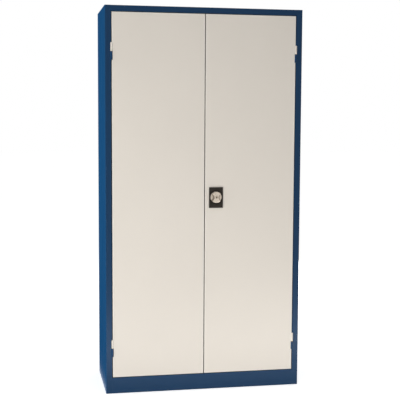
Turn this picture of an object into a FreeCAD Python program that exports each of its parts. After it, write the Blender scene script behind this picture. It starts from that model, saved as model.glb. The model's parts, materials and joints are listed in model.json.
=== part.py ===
import FreeCAD, Part
import math
import os

from FreeCAD import Vector

os.makedirs("parts", exist_ok=True)

# A tall two-door steel cupboard. Millimetres. X runs to the right, Y runs from the
# doors to the back, Z runs up. The origin is on the floor, under the middle of the body.

# Body
height = 1950.0
width = 1008.0
depth = 435.0
sheet = 1.0
bend = 1.2

# Front frame of the body
stile_face = 31.0
rail_face = 29.0
plinth_face = 81.0
jamb_return = 25.0
header_return = 40.0
rear_flange = 15.0
weld_flange = 15.0
plinth_foot = 20.0

# Doors
door_gap = 3.0
middle_gap = 4.0
door_sheet = 1.0
door_bend = 1.2
door_depth = 20.0
door_lip = 15.0
door_end_lip = 40.0
stiffener_crown = 40.0
stiffener_foot = 15.0
stiffener_sheet = 0.8

# Stop bars that the doors close against, and the rubber buffers between
stop_height = 15.0
stop_thickness = 2.0
buffer_room = 2.0
buffer_thickness = 1.7
buffer_radius = 6.0
buffer_inset = 60.0

# Hinges
knuckle_radius = 5.0
knuckle_height = 42.0
knuckle_round = 1.2
hinge_pin_radius = 3.0
hinge_pin_reach = 38.0
hinge_washer = 1.0
washer_play = 0.1
hinge_leaf = 2.0
hinge_leaf_depth = 17.0
upper_hinge_drop = 224.0
lower_hinge_height = 234.0
own_notch_clearance = 0.5
other_notch_clearance = 1.5

# Shelves
shelf_count = 4
shelf_depth = 372.0
shelf_edge = 25.0
shelf_return = 10.0
shelf_sheet = 0.9
shelf_bend = 1.2
shelf_back_gap = 5.0
shelf_side_gap = 1.0

# Slotted uprights and shelf clips
upright_width = 30.0
upright_depth = 6.0
upright_sheet = 1.2
upright_inset = 45.0
slot_width = 16.0
slot_height = 3.0
slots_per_shelf = 8
clip_width = 14.0
clip_tongue = 20.0
clip_sheet = 2.0
clip_drop = 12.0
clip_hook = 8.0
clip_play = 0.3

# Back panel ribs and wall fixing holes
rib_width = 40.0
rib_crown = 24.0
rib_depth = 3.0
rib_from_middle = 240.0
rib_end = 60.0
fixing_spacing = 800.0
fixing_drop = 70.0
fixing_radius = 4.0

# Turn handle
lock_from_middle = 58.0
lock_below_door_middle = 3.0
plate_width = 71.0
plate_height = 105.0
plate_below_handle = 2.5
plate_thickness = 9.0
plate_corner = 2.5
plate_chamfer = 1.5
dish_radius = 39.0
dish_floor = 3.0
dish_rim = 2.5
knob_radius = 29.0
knob_clearance = 0.5
knob_base = 5.0
knob_edge = 1.0
grip_height = 11.5
grip_waist = 22.0
scallop_radius = 20.0
grip_round = 1.6
shank_radius = 6.0
shank_length = 9.5
sleeve_radius = 9.0
sleeve_length = 15.0
sleeve_rim = 0.6
plug_radius = 5.0
plug_length = 14.0
plug_recess = 0.5
key_slot_width = 1.4
key_slot_height = 7.0
key_slot_depth = 10.0

# Spindle, pinion and racks
spindle_square = 7.0
spindle_thread_radius = 3.0
spindle_front_gap = 1.0
tooth_module = 1.0
pinion_teeth = 16
pressure_angle = math.radians(20.0)
tooth_backlash = 0.08
tooth_foot_share = 1.25
rack_tip_share = 0.9
rack_thickness = 8.0
rack_width = 9.9
rack_above = 22.0
rack_below = 20.0
rack_teeth_below = 6
rack_teeth_above = 2
pinion_hub_front = 17.0
pinion_hub_back = 4.5

# Lock case
case_half_height = 38.0
case_half_width = 30.0
case_wall = 2.0
case_cover = 2.0
case_tab_width = 16.0
case_screw_inset = 6.0
rack_play = 0.1
cover_gap = 2.0

# Rods and their guides
rod_radius = 4.0
rod_clearance = 1.0
rod_tip_gap = 3.0
rod_tip_chamfer = 1.5
rod_spigot_radius = 2.5
rod_spigot_length = 10.0
guide_width = 32.0
guide_height = 18.0
guide_wall = 4.0
guide_from_stop = 8.0
guide_screw_spacing = 20.0

# Latch cam and keeper
cam_reach = 70.0
cam_width = 16.0
cam_thickness = 3.0
cam_eye_radius = 11.0
keeper_gap = 2.0
keeper_sheet = 1.5
keeper_height = 44.0
keeper_foot_share = 0.8
keeper_edge_gap = 2.0
cam_washer_radius = 7.0
cam_washer = 1.2
nut_across = 10.0
nut_height = 5.0
thread_end = 1.0

# Screws
screw_radius = 2.0
screw_head_radius = 3.6
screw_head = 2.4
screw_cross_width = 0.9
screw_cross_length = 4.2
screw_cross_depth = 1.4
flush_head = 1.6
plate_screw_bite = 6.0
plate_screw_inset = 5.5
cover_screw_bite = 8.0
guide_screw_bite = 3.0

# Clearances and cuts
running_fit = 0.05
loose_fit = 0.1
door_hole_clearance = 1.5
overrun = 1.0

# Places worked out from the sizes above
front = -depth / 2
back = depth / 2
half_width = width / 2
jamb = half_width - stile_face
door_outer = jamb - door_gap
door_inner = middle_gap / 2
door_bottom = plinth_face + door_gap
header = height - rail_face
door_top = header - door_gap
door_back = front + door_depth
stop_front = door_back + buffer_room
stop_back = stop_front + stop_thickness
rod_line = stop_back + rod_clearance + rod_radius
rack_front = rod_line - rack_thickness / 2
rack_back = rod_line + rack_thickness / 2
cover_front = rack_back + cover_gap
cover_back = cover_front + case_cover
hub_front = rack_front - pinion_hub_front
hub_back = rack_back + pinion_hub_back
cam_back = hub_back + cam_thickness
nut_front = cam_back + cam_washer
spindle_back = nut_front + nut_height + thread_end
hinge_axis = jamb - door_gap / 2
upper_hinge_height = height - upper_hinge_drop
pitch_radius = tooth_module * pinion_teeth / 2
rod_offset = pitch_radius - rack_tip_share * tooth_module + rack_width / 2
shelf_back = back - sheet - shelf_back_gap
shelf_front = shelf_back - shelf_depth
shelf_pitch = (header - plinth_face) / (shelf_count + 1)
slot_pitch = shelf_pitch / slots_per_shelf
upright_face = half_width - sheet - upright_depth
front_upright = shelf_front + upright_inset
rear_upright = shelf_back - upright_inset - upright_width
knob_front = front - dish_floor - knob_clearance - knob_base
grip_front = knob_front - grip_height
shank_back = front - dish_floor - knob_clearance + shank_length
lock_height = (door_bottom + door_top) / 2 - lock_below_door_middle
plate_middle_height = lock_height - plate_below_handle
handle = Vector(lock_from_middle, 0, lock_height)
origin = Vector(0, 0, 0)
along_x = Vector(1, 0, 0)
along_y = Vector(0, 1, 0)
along_z = Vector(0, 0, 1)


def block(x0, x1, y0, y1, z0, z1):
    """A box between two planes on each axis."""
    return Part.makeBox(x1 - x0, y1 - y0, z1 - z0, Vector(x0, y0, z0))


def round_y(x, z, radius, y0, y1):
    """A cylinder along Y."""
    return Part.makeCylinder(radius, y1 - y0, Vector(x, y0, z), along_y)


def round_z(x, y, radius, z0, z1):
    """A cylinder along Z."""
    return Part.makeCylinder(radius, z1 - z0, Vector(x, y, z0), along_z)


def mirrored(shape):
    """The same piece for the other side of the cupboard."""
    return shape.mirror(origin, along_x)


def union(shapes):
    """Several overlapping or touching shapes as one solid."""
    whole = shapes[0]
    for shape in shapes[1:]:
        whole = whole.fuse(shape)
    return whole.removeSplitter()


def in_plan(a, b):
    """A point of an outline that lies flat and is extruded upwards."""
    return Vector(a, b, 0)


def in_section(a, b):
    """A point of an outline that stands across the cupboard and is extruded along X."""
    return Vector(0, a, b)


def rounded_face(points, radii):
    """A flat face with these corners, each rounded by its own radius."""
    edges = []
    last = None
    first = None
    for i, corner in enumerate(points):
        before = (points[i - 1] - corner).normalize()
        after = (points[(i + 1) % len(points)] - corner).normalize()
        radius = radii[i]
        if radius > 0:
            half = before.getAngle(after) / 2
            reach = radius / math.tan(half)
            start = corner + before * reach
            end = corner + after * reach
            inward = (before + after).normalize()
            middle = corner + inward * (radius / math.sin(half) - radius)
        else:
            start = end = corner
        if last is not None:
            edges.append(Part.LineSegment(last, start).toShape())
        else:
            first = start
        if radius > 0:
            edges.append(Part.Arc(start, middle, end).toShape())
        last = end
    edges.append(Part.LineSegment(last, first).toShape())
    return Part.Face(Part.Wire(edges))


def folded(line, thickness, inner_radius, place, start, run):
    """Folded sheet along a line of corner points, with the sheet on the line's right."""
    steps = [(b[0] - a[0], b[1] - a[1]) for a, b in zip(line, line[1:])]
    ways = [(dx / math.hypot(dx, dy), dy / math.hypot(dx, dy)) for dx, dy in steps]
    inner = []
    outer_radii = [0]
    inner_radii = [0]
    for i, (a, b) in enumerate(line):
        here = ways[min(i, len(ways) - 1)]
        if 0 < i < len(line) - 1:
            past = ways[i - 1]
            shift_a = (past[1] + here[1]) * thickness
            shift_b = -(past[0] + here[0]) * thickness
            turns_right = past[0] * here[1] - past[1] * here[0] < 0
            wide, narrow = inner_radius + thickness, inner_radius
            outer_radii.append(wide if turns_right else narrow)
            inner_radii.append(narrow if turns_right else wide)
        else:
            shift_a = here[1] * thickness
            shift_b = -here[0] * thickness
        inner.append((a + shift_a, b + shift_b))
    outer_radii.append(0)
    inner_radii.append(0)
    points = [place(a, b) for a, b in line + inner[::-1]]
    face = rounded_face(points, outer_radii + inner_radii[::-1])
    face.translate(start)
    return face.extrude(run)


def side_panel():
    """Left side: outer sheet, front stile, jamb and rear flange in one folded sheet."""
    line = [
        (-jamb, front + jamb_return),
        (-jamb, front),
        (-half_width, front),
        (-half_width, back),
        (-half_width + rear_flange, back),
    ]
    rise = along_z * (height - sheet)
    shell = folded(line, sheet, bend, in_plan, origin, rise)
    inside = -half_width + sheet
    y0 = front + jamb_return + sheet
    y1 = back - sheet * 2
    foot = block(inside, inside + weld_flange, y0, y1, 0, sheet)
    cap = foot.translated(along_z * (height - sheet * 2))
    panel = union([shell, foot, cap])
    for split in (lower_hinge_height, upper_hinge_height):
        panel = panel.cut(jamb_notch(split))
    return panel


def notch(edge, side, clearance, z0, z1):
    """Room for a hinge knuckle in a sheet edge: side is -1 for the stile, 1 for the door."""
    deep = hinge_axis - side * (knuckle_radius + clearance)
    x0, x1 = sorted((-edge + side * -overrun, -deep))
    y1 = front + knuckle_radius + clearance
    return block(x0, x1, front - overrun, y1, z0, z1)


def knuckle_heights(split):
    """Bottom and top of the frame knuckle and of the door knuckle, at one hinge."""
    gap = hinge_washer / 2
    low = (split - gap - knuckle_height, split - gap)
    high = (split + gap, split + gap + knuckle_height)
    return low, high


def jamb_notch(split):
    """The stile's cut-out for one hinge, wider beside the knuckle that turns."""
    low, high = knuckle_heights(split)
    own = notch(jamb, -1, own_notch_clearance, low[0] - own_notch_clearance, split)
    other_top = high[1] + other_notch_clearance
    other = notch(jamb, -1, other_notch_clearance, low[1], other_top)
    return own.fuse(other)


def door_notch(split):
    """The door edge's cut-out for one hinge."""
    low, high = knuckle_heights(split)
    other_bottom = low[0] - other_notch_clearance
    other = notch(door_outer, 1, other_notch_clearance, other_bottom, high[0])
    own = notch(door_outer, 1, own_notch_clearance, split, high[1] + own_notch_clearance)
    return own.fuse(other)


def rib(middle, face_y, z0, z1):
    """A pressed rib's solid: a trapezium that stands out of a sheet towards the front."""
    half_foot, half_crown = rib_width / 2, rib_crown / 2
    corners = [
        Vector(middle - half_foot, face_y, z0),
        Vector(middle - half_crown, face_y - rib_depth, z0),
        Vector(middle + half_crown, face_y - rib_depth, z0),
        Vector(middle + half_foot, face_y, z0),
    ]
    return Part.Face(Part.makePolygon(corners + corners[:1])).extrude(along_z * (z1 - z0))


def back_panel():
    """Back sheet with two pressed upright ribs and two holes for wall screws."""
    inner = back - sheet * 2
    x1 = half_width - sheet - bend
    panel = block(-x1, x1, inner, inner + sheet, 0, height - sheet)
    z0, z1 = plinth_face + rib_end, height - sheet - rib_end
    for middle in (-rib_from_middle, rib_from_middle):
        panel = panel.fuse(rib(middle, inner, z0 - sheet, z1 + sheet))
        panel = panel.cut(rib(middle, inner + sheet, z0, z1))
    for x in (-fixing_spacing / 2, fixing_spacing / 2):
        z = height - fixing_drop
        panel = panel.cut(round_y(x, z, fixing_radius, inner - overrun, back))
    return panel.removeSplitter()


def top_panel():
    """Roof sheet whose front folds down into the rail and back into the header."""
    line = [
        (front + header_return, header),
        (front, header),
        (front, height),
        (back, height),
    ]
    start = Vector(-jamb, 0, 0)
    shell = folded(line, sheet, bend, in_section, start, along_x * (jamb * 2))
    under = height - sheet
    left_end = block(-half_width, -jamb, front, back, under, height)
    right_end = mirrored(left_end)
    flange_end = half_width - rear_flange
    y0 = back - sheet
    flange = block(-flange_end, flange_end, y0, back, height - rear_flange, under)
    return union([shell, left_end, right_end, flange])


def bottom_panel():
    """Floor sheet, cut round the jambs, its front edge turned down behind the plinth."""
    top = plinth_face
    under = top - sheet
    inside = half_width - sheet
    notch_back = front + jamb_return
    wide = block(-inside, inside, notch_back, back - sheet * 2, under, top)
    edge = front + sheet
    narrow = block(-jamb, jamb, edge, notch_back, under, top)
    lip_end = jamb - sheet
    lip = block(-lip_end, lip_end, edge, edge + sheet, top - weld_flange, under)
    return union([wide, narrow, lip])


def base_frame():
    """Plinth ring: the visible front board, three walls behind it and an inward foot."""
    y1 = back - sheet * 2
    top = plinth_face - sheet
    outer = block(-jamb, jamb, front, y1, 0, top)
    wall_x = jamb - sheet
    outer = outer.cut(block(-wall_x, wall_x, front + sheet, y1 - sheet, sheet, top))
    hole_x = jamb - plinth_foot
    hole = block(-hole_x, hole_x, front + plinth_foot, y1 - plinth_foot, 0, sheet)
    face_strip = block(-jamb, jamb, front, front + sheet, top, plinth_face)
    return union([outer.cut(hole), face_strip])


def door_stop(z0):
    """Flat bar behind the doors, welded to the header or to the floor sheet."""
    return block(-jamb, jamb, stop_front, stop_back, z0, z0 + stop_height)


def upright(y0):
    """Slotted channel on the left side sheet, with slots at an even pitch."""
    y1 = y0 + upright_width
    wall = -half_width + sheet
    line = [(wall, y1), (-upright_face, y1), (-upright_face, y0), (wall, y0)]
    bottom = plinth_face
    rise = along_z * (header - bottom)
    start = along_z * bottom
    strip = folded(line, upright_sheet, upright_sheet / 2, in_plan, start, rise)
    middle = y0 + upright_width / 2
    x0 = -upright_face - upright_sheet - overrun
    slots = []
    for step in range(1, slots_per_shelf * (shelf_count + 1)):
        top = bottom + step * slot_pitch
        slots.append(
            block(
                x0,
                -upright_face + overrun,
                middle - slot_width / 2,
                middle + slot_width / 2,
                top - slot_height,
                top,
            )
        )
    return strip.cut(slots)


def shelf_seat(level):
    """Top of the clips that carry a shelf, a little below the top of their slots."""
    return plinth_face + level * shelf_pitch - clip_play


def shelf(level):
    """Tray shelf: four edges turned down, with returns along the front and the back."""
    under = shelf_seat(level)
    top = under + shelf_edge
    x1 = upright_face - shelf_side_gap
    tray = block(-x1, x1, shelf_front, shelf_back, under, top)
    long_edges = [e for e in tray.Edges if level_edge(e, top)]
    tray = tray.makeFillet(shelf_bend + shelf_sheet, long_edges)
    inner = block(
        -x1 + shelf_sheet,
        x1 - shelf_sheet,
        shelf_front + shelf_sheet,
        shelf_back - shelf_sheet,
        under + shelf_sheet,
        top - shelf_sheet,
    )
    inner_edges = [e for e in inner.Edges if level_edge(e, top - shelf_sheet)]
    inner = inner.makeFillet(shelf_bend, inner_edges)
    mouth = block(
        -x1 + shelf_sheet,
        x1 - shelf_sheet,
        shelf_front + shelf_return,
        shelf_back - shelf_return,
        under,
        under + shelf_sheet * 2,
    )
    return tray.cut(inner).cut(mouth)


def level_edge(edge, z):
    """True for a long front or back edge that lies along X at this height."""
    a, b = (v.Point for v in edge.Vertexes)
    flat = abs(a.z - z) < running_fit and abs(b.z - z) < running_fit
    return flat and abs(a.y - b.y) < running_fit


def shelf_clip(y0, top):
    """Clip for a left upright: hook behind the slot, leg in front, tongue under the shelf."""
    middle = y0 + upright_width / 2
    ya, yb = middle - clip_width / 2, middle + clip_width / 2
    face = -upright_face
    behind = face - upright_sheet - clip_play
    under = top - clip_sheet
    tongue = block(behind - clip_sheet, face + clip_tongue, ya, yb, under, top)
    hook = block(behind - clip_sheet, behind, ya, yb, under - clip_hook, top)
    leg = block(face, face + clip_sheet, ya, yb, under - clip_drop, top)
    return union([tongue, hook, leg])


def shelf_clips(level):
    """The four clips of one shelf."""
    left = [shelf_clip(y0, shelf_seat(level)) for y0 in (front_upright, rear_upright)]
    return Part.makeCompound(left + [mirrored(clip) for clip in left])


def door_panel():
    """Left door: a pan folded from one sheet, with a lip all round its open back."""
    x0, x1 = -door_outer, -door_inner
    pan = block(x0, x1, front, door_back, door_bottom, door_top)
    pan = pan.makeFillet(door_bend + door_sheet, front_edges(pan, front))
    cavity = block(
        x0 + door_sheet,
        x1 - door_sheet,
        front + door_sheet,
        door_back - door_sheet,
        door_bottom + door_sheet,
        door_top - door_sheet,
    )
    cavity = cavity.makeFillet(door_bend, front_edges(cavity, front + door_sheet))
    window = block(
        x0 + door_lip,
        x1 - door_lip,
        door_back - door_sheet * 2,
        door_back + overrun,
        door_bottom + door_end_lip,
        door_top - door_end_lip,
    )
    pan = pan.cut(cavity).cut(window)
    for split in (lower_hinge_height, upper_hinge_height):
        pan = pan.cut(door_notch(split))
    return pan


def front_edges(shape, y):
    """The four edges of a box's front face."""
    return [e for e in shape.Edges if all(abs(v.Y - y) < running_fit for v in e.Vertexes)]


def lock_door_panel():
    """Right door: the mirrored pan with the holes of the lock and of the rod guides."""
    pan = mirrored(door_panel())
    hole = shank_radius + door_hole_clearance
    pan = pan.cut(round_y(handle.x, handle.z, hole, front - overrun, front + door_sheet * 2))
    for z in plate_screw_heights():
        radius = screw_radius + loose_fit
        pan = pan.cut(round_y(handle.x, z, radius, front - overrun, front + door_sheet * 2))
    for x, z in guide_screw_places():
        radius = screw_radius + loose_fit
        y0 = door_back - door_sheet - overrun
        pan = pan.cut(round_y(x, z, radius, y0, door_back + overrun))
    return pan


def stiffener():
    """Hat section up the middle of the left door, open side against the door sheet."""
    middle = -(door_outer + door_inner) / 2
    near = front + door_sheet
    far = door_back - door_sheet - stiffener_sheet
    half_crown = stiffener_crown / 2
    half_foot = half_crown + stiffener_foot
    line = [
        (middle + half_foot, near),
        (middle + half_crown, near),
        (middle + half_crown, far),
        (middle - half_crown, far),
        (middle - half_crown, near),
        (middle - half_foot, near),
    ]
    z0 = door_bottom + door_sheet * 2
    rise = along_z * (door_top - door_sheet * 2 - z0)
    return folded(line, stiffener_sheet, stiffener_sheet, in_plan, along_z * z0, rise)


def buffers(side):
    """Rubber buffers on the door's end lips, opposite the stop bars."""
    x = side * (door_inner + buffer_inset + plate_width)
    inset = stop_height / 2
    pads = []
    for z in (plinth_face + inset + door_gap, header - inset - door_gap):
        pads.append(round_y(x, z, buffer_radius, door_back, door_back + buffer_thickness))
    return Part.makeCompound(pads)


def knuckle(z0, z1, rounded_z):
    """The rolled part of a hinge, with one rounded end."""
    roll = round_z(-hinge_axis, front, knuckle_radius, z0, z1)
    rims = [e for e in roll.Edges if circle_at(e, rounded_z)]
    return roll.makeFillet(knuckle_round, rims)


def circle_at(edge, z):
    """True for a round edge at this height."""
    is_circle = isinstance(edge.Curve, Part.Circle)
    return is_circle and abs(edge.Curve.Center.z - z) < running_fit


def frame_hinges():
    """The lower halves of the two left hinges, welded behind the jamb."""
    halves = []
    for split in (lower_hinge_height, upper_hinge_height):
        (z0, z1), _ = knuckle_heights(split)
        x1 = -jamb - sheet
        leaf = block(x1 - hinge_leaf, x1, front, front + hinge_leaf_depth, z0, z1)
        half = union([knuckle(z0, z1, z0), leaf])
        bore = hinge_pin_radius + running_fit
        halves.append(half.cut(round_z(-hinge_axis, front, bore, z0 - overrun, z1 + overrun)))
    return Part.makeCompound(halves)


def door_hinges():
    """The upper halves of the two left hinges, welded inside the door's edge."""
    halves = []
    for split in (lower_hinge_height, upper_hinge_height):
        _, (z0, z1) = knuckle_heights(split)
        x0 = -door_outer + door_sheet
        leaf = block(x0, x0 + hinge_leaf, front, front + hinge_leaf_depth, z0, z1)
        half = union([knuckle(z0, z1, z1), leaf])
        bore = hinge_pin_radius + running_fit
        top = z0 + hinge_pin_reach + loose_fit
        halves.append(half.cut(round_z(-hinge_axis, front, bore, z0 - overrun, top)))
    return Part.makeCompound(halves)


def hinge_pins():
    """Four pins, each from the bottom of its frame knuckle up into the door knuckle."""
    pins = []
    for split in (lower_hinge_height, upper_hinge_height):
        (z0, _), (z1, _) = knuckle_heights(split)
        pin = round_z(-hinge_axis, front, hinge_pin_radius, z0, z1 + hinge_pin_reach)
        pins += [pin, mirrored(pin)]
    return Part.makeCompound(pins)


def hinge_washers():
    """Four bearing washers between the knuckles, with a little play above."""
    washers = []
    for split in (lower_hinge_height, upper_hinge_height):
        z0, z1 = split - hinge_washer / 2, split + hinge_washer / 2 - washer_play
        ring = round_z(-hinge_axis, front, knuckle_radius, z0, z1)
        bore = hinge_pin_radius + running_fit
        ring = ring.cut(round_z(-hinge_axis, front, bore, z0 - overrun, z1 + overrun))
        washers += [ring, mirrored(ring)]
    return Part.makeCompound(washers)


def keeper():
    """Bent catch on the left door's free edge, which the latch cam passes behind."""
    x0 = -door_inner - door_lip
    x1 = -door_inner - keeper_edge_gap
    foot_x = x0 + (x1 - x0) * keeper_foot_share
    y0 = door_back
    y1 = hub_back - keeper_gap
    z0 = handle.z - keeper_height / 2
    z1 = handle.z + keeper_height / 2
    foot = block(x0, foot_x, y0, y0 + keeper_sheet, z0, z1)
    web = block(x0, x0 + keeper_sheet, y0, y1, z0, z1)
    tip = block(x0, x1, y1 - keeper_sheet, y1, z0, z1)
    return union([foot, web, tip])


def plate_screw_heights():
    """Heights of the two screws that hold the handle plate."""
    reach = plate_height / 2 - plate_screw_inset
    return plate_middle_height - reach, plate_middle_height + reach


def escutcheon():
    """Handle plate with a round dish, clipped by the plate's upright rims."""
    half_w, half_h = plate_width / 2, plate_height / 2
    outer = front - plate_thickness
    low, high = plate_middle_height - half_h, plate_middle_height + half_h
    x0, x1 = handle.x - half_w, handle.x + half_w
    plate = block(x0, x1, outer, front, low, high)
    uprights = [e for e in plate.Edges if abs(e.tangentAt(e.FirstParameter).y) > 0.5]
    plate = plate.makeFillet(plate_corner, uprights)
    plate = plate.makeChamfer(plate_chamfer, front_edges(plate, outer))
    floor = front - dish_floor
    dish = round_y(handle.x, handle.z, dish_radius, outer - overrun, floor)
    inside = block(
        x0 + dish_rim, x1 - dish_rim, outer - overrun, floor, low + dish_rim, high - dish_rim
    )
    plate = plate.cut(dish.common(inside))
    bore = shank_radius + running_fit
    plate = plate.cut(round_y(handle.x, handle.z, bore, outer, front + overrun))
    for z in plate_screw_heights():
        end = front - plate_screw_bite - loose_fit
        hole = round_y(handle.x, z, screw_radius + running_fit, end, front + overrun)
        plate = plate.cut(hole)
    return plate


def turn_handle():
    """Round knob with an upright grip between two finger hollows, and its shank."""
    behind = front - dish_floor - knob_clearance
    base = round_y(handle.x, handle.z, knob_radius, knob_front, behind)
    rims = [e for e in base.Edges if circle_along(e, knob_front)]
    base = base.makeChamfer(knob_edge, rims)
    grip_radius = knob_radius - knob_edge
    grip = round_y(handle.x, handle.z, grip_radius, grip_front, knob_front)
    centre = grip_waist / 2 + scallop_radius
    for side in (-1, 1):
        x = handle.x + side * centre
        grip = grip.cut(round_y(x, handle.z, scallop_radius, grip_front, knob_front))
    grip = grip.makeFillet(grip_round, front_edges(grip, grip_front))
    shank = round_y(handle.x, handle.z, shank_radius, behind, shank_back)
    body = union([base, grip, shank])
    seat = sleeve_radius + running_fit
    seat_back = grip_front + sleeve_length
    body = body.cut(round_y(handle.x, handle.z, seat, grip_front - overrun, seat_back))
    half = spindle_square / 2 + running_fit
    return body.cut(square_bar(half, seat_back, shank_back + overrun))


def circle_along(edge, y):
    """True for a round edge at this depth."""
    is_circle = isinstance(edge.Curve, Part.Circle)
    return is_circle and abs(edge.Curve.Center.y - y) < running_fit


def square_bar(half, y0, y1):
    """Square bar on the lock's axis."""
    x, z = handle.x, handle.z
    return block(x - half, x + half, y0, y1, z - half, z + half)


def cylinder_sleeve():
    """Key cylinder housing in the middle of the knob."""
    back_end = grip_front + sleeve_length
    sleeve = round_y(handle.x, handle.z, sleeve_radius, grip_front, back_end)
    rims = [e for e in sleeve.Edges if circle_along(e, grip_front)]
    sleeve = sleeve.makeChamfer(sleeve_rim, rims)
    bore = plug_radius + running_fit
    depth_end = grip_front + plug_recess + plug_length
    return sleeve.cut(round_y(handle.x, handle.z, bore, grip_front - overrun, depth_end))


def key_plug():
    """Turning plug of the key cylinder, with its key slot upright."""
    y0 = grip_front + plug_recess
    plug = round_y(handle.x, handle.z, plug_radius, y0, y0 + plug_length)
    half_w, half_h = key_slot_width / 2, key_slot_height / 2
    slot = block(
        handle.x - half_w,
        handle.x + half_w,
        y0 - overrun,
        y0 + key_slot_depth,
        handle.z - half_h,
        handle.z + half_h,
    )
    return plug.cut(slot)


def spindle():
    """Square spindle with a threaded end for the cam nut."""
    y0 = grip_front + sleeve_length + spindle_front_gap
    bar = square_bar(spindle_square / 2, y0, cam_back)
    stud = round_y(handle.x, handle.z, spindle_thread_radius, cam_back, spindle_back)
    return union([bar, stud])


def turned(radius, angle):
    """A point of the pinion outline, round the lock's axis."""
    x = handle.x + radius * math.cos(angle)
    z = handle.z + radius * math.sin(angle)
    return Vector(x, rack_front, z)


def pinion():
    """Sixteen involute teeth and a hub that runs in the case cover."""
    base_radius = pitch_radius * math.cos(pressure_angle)
    tip_radius = pitch_radius + tooth_module
    root_radius = pitch_radius - tooth_foot_share * tooth_module
    thickness = tooth_module * math.pi / 2 - tooth_backlash / 2
    half_angle = thickness / 2 / pitch_radius
    half_angle += math.tan(pressure_angle) - pressure_angle
    tip_roll = math.sqrt((tip_radius / base_radius) ** 2 - 1)
    rolls = [tip_roll * share for share in (0, 0.25, 0.5, 0.75, 1)]
    flank = []
    for roll in rolls:
        radius = base_radius * math.sqrt(1 + roll**2)
        flank.append((radius, half_angle - (roll - math.atan(roll))))
    tooth_step = 2 * math.pi / pinion_teeth
    edges = []
    for tooth in range(pinion_teeth):
        middle = tooth * tooth_step
        rising = Part.BSplineCurve()
        rising.interpolate([turned(r, middle - a) for r, a in flank])
        falling = Part.BSplineCurve()
        falling.interpolate([turned(r, middle + a) for r, a in flank[::-1]])
        tip_angle = flank[-1][1]
        root_start = turned(root_radius, middle - half_angle)
        root_end = turned(root_radius, middle + half_angle)
        next_root = turned(root_radius, middle + tooth_step - half_angle)
        base_start = turned(base_radius, middle - half_angle)
        base_end = turned(base_radius, middle + half_angle)
        crown = Part.Arc(
            turned(tip_radius, middle - tip_angle),
            turned(tip_radius, middle),
            turned(tip_radius, middle + tip_angle),
        )
        valley = Part.Arc(
            root_end, turned(root_radius, middle + tooth_step / 2), next_root
        )
        lines = (Part.LineSegment(root_start, base_start), rising, crown, falling)
        lines += (Part.LineSegment(base_end, root_end), valley)
        edges += [line.toShape() for line in lines]
    gear = Part.Face(Part.Wire(edges)).extrude(along_y * rack_thickness)
    hub = round_y(handle.x, handle.z, shank_radius, hub_front, hub_back)
    half = spindle_square / 2 + running_fit
    return union([gear, hub]).cut(square_bar(half, hub_front - overrun, hub_back + overrun))


def upper_rack():
    """Rack on the left of the pinion, cut so that it is in mesh with the handle upright."""
    tip = handle.x - pitch_radius + rack_tip_share * tooth_module
    bar = block(
        tip - rack_width,
        tip,
        rack_front,
        rack_back,
        handle.z - rack_below,
        handle.z + rack_above,
    )
    pitch_line = handle.x - pitch_radius
    slope = math.tan(pressure_angle)
    half_space = (tooth_module * math.pi / 2 + tooth_backlash / 2) / 2
    out = tip - pitch_line + overrun
    deep = tooth_foot_share * tooth_module
    spaces = []
    for step in range(-rack_teeth_below, rack_teeth_above + 1):
        z = handle.z + step * math.pi * tooth_module
        corners = [
            Vector(pitch_line + out, rack_front, z - half_space - out * slope),
            Vector(pitch_line + out, rack_front, z + half_space + out * slope),
            Vector(pitch_line - deep, rack_front, z + half_space - deep * slope),
            Vector(pitch_line - deep, rack_front, z - half_space + deep * slope),
        ]
        face = Part.Face(Part.makePolygon(corners + corners[:1]))
        spaces.append(face.extrude(along_y * rack_thickness))
    top = handle.z + rack_above
    socket = rod_spigot_radius + running_fit
    x = handle.x - rod_offset
    spaces.append(round_z(x, rod_line, socket, top - rod_spigot_length, top + overrun))
    return bar.cut(spaces)


def lock_rod(x, seat, tip, up):
    """Round rod from the rack's end face to its chamfered tip, with a spigot in the rack."""
    z0, z1 = sorted((seat, tip))
    rod = round_z(x, rod_line, rod_radius, z0, z1)
    rims = [e for e in rod.Edges if circle_at(e, tip)]
    rod = rod.makeChamfer(rod_tip_chamfer, rims)
    inner = seat - up * (rod_spigot_length - loose_fit)
    s0, s1 = sorted((seat, inner))
    return union([rod, round_z(x, rod_line, rod_spigot_radius, s0, s1)])


def turned_half(shape):
    """The same piece on the other side of the lock's axis."""
    return shape.rotated(Vector(handle.x, 0, handle.z), along_y, 180)


def guide_places():
    """Rod line and lower end of each rod guide: upper, then lower."""
    upper = header - stop_height - guide_from_stop - guide_height
    lower = plinth_face + stop_height + guide_from_stop
    return (handle.x - rod_offset, upper), (handle.x + rod_offset, lower)


def guide_screw_places():
    """Places of the four guide screws in the door's lips."""
    places = []
    for x, z in guide_places():
        for side in (-1, 1):
            places.append((x + side * guide_screw_spacing / 2, z + guide_height / 2))
    return places


def rod_guide(x, z0):
    """Moulded block that holds a rod near its end."""
    half = guide_width / 2
    y1 = rod_line + rod_radius + guide_wall
    body = block(x - half, x + half, door_back, y1, z0, z0 + guide_height)
    bore = rod_radius + running_fit
    body = body.cut(round_z(x, rod_line, bore, z0 - overrun, z0 + guide_height + overrun))
    for side in (-1, 1):
        screw_x = x + side * guide_screw_spacing / 2
        hole = screw_radius + loose_fit
        z = z0 + guide_height / 2
        body = body.cut(round_y(screw_x, z, hole, door_back - overrun, y1 + overrun))
    return body


def cross_recess(x, z, face):
    """The cross of a screwdriver's tip, sunk from the head's outer face."""
    half_w, half_l = screw_cross_width / 2, screw_cross_length / 2
    y0, y1 = face - screw_cross_depth, face + overrun
    upright_cut = block(x - half_w, x + half_w, y0, y1, z - half_l, z + half_l)
    level_cut = block(x - half_l, x + half_l, y0, y1, z - half_w, z + half_w)
    return upright_cut.fuse(level_cut)


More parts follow.
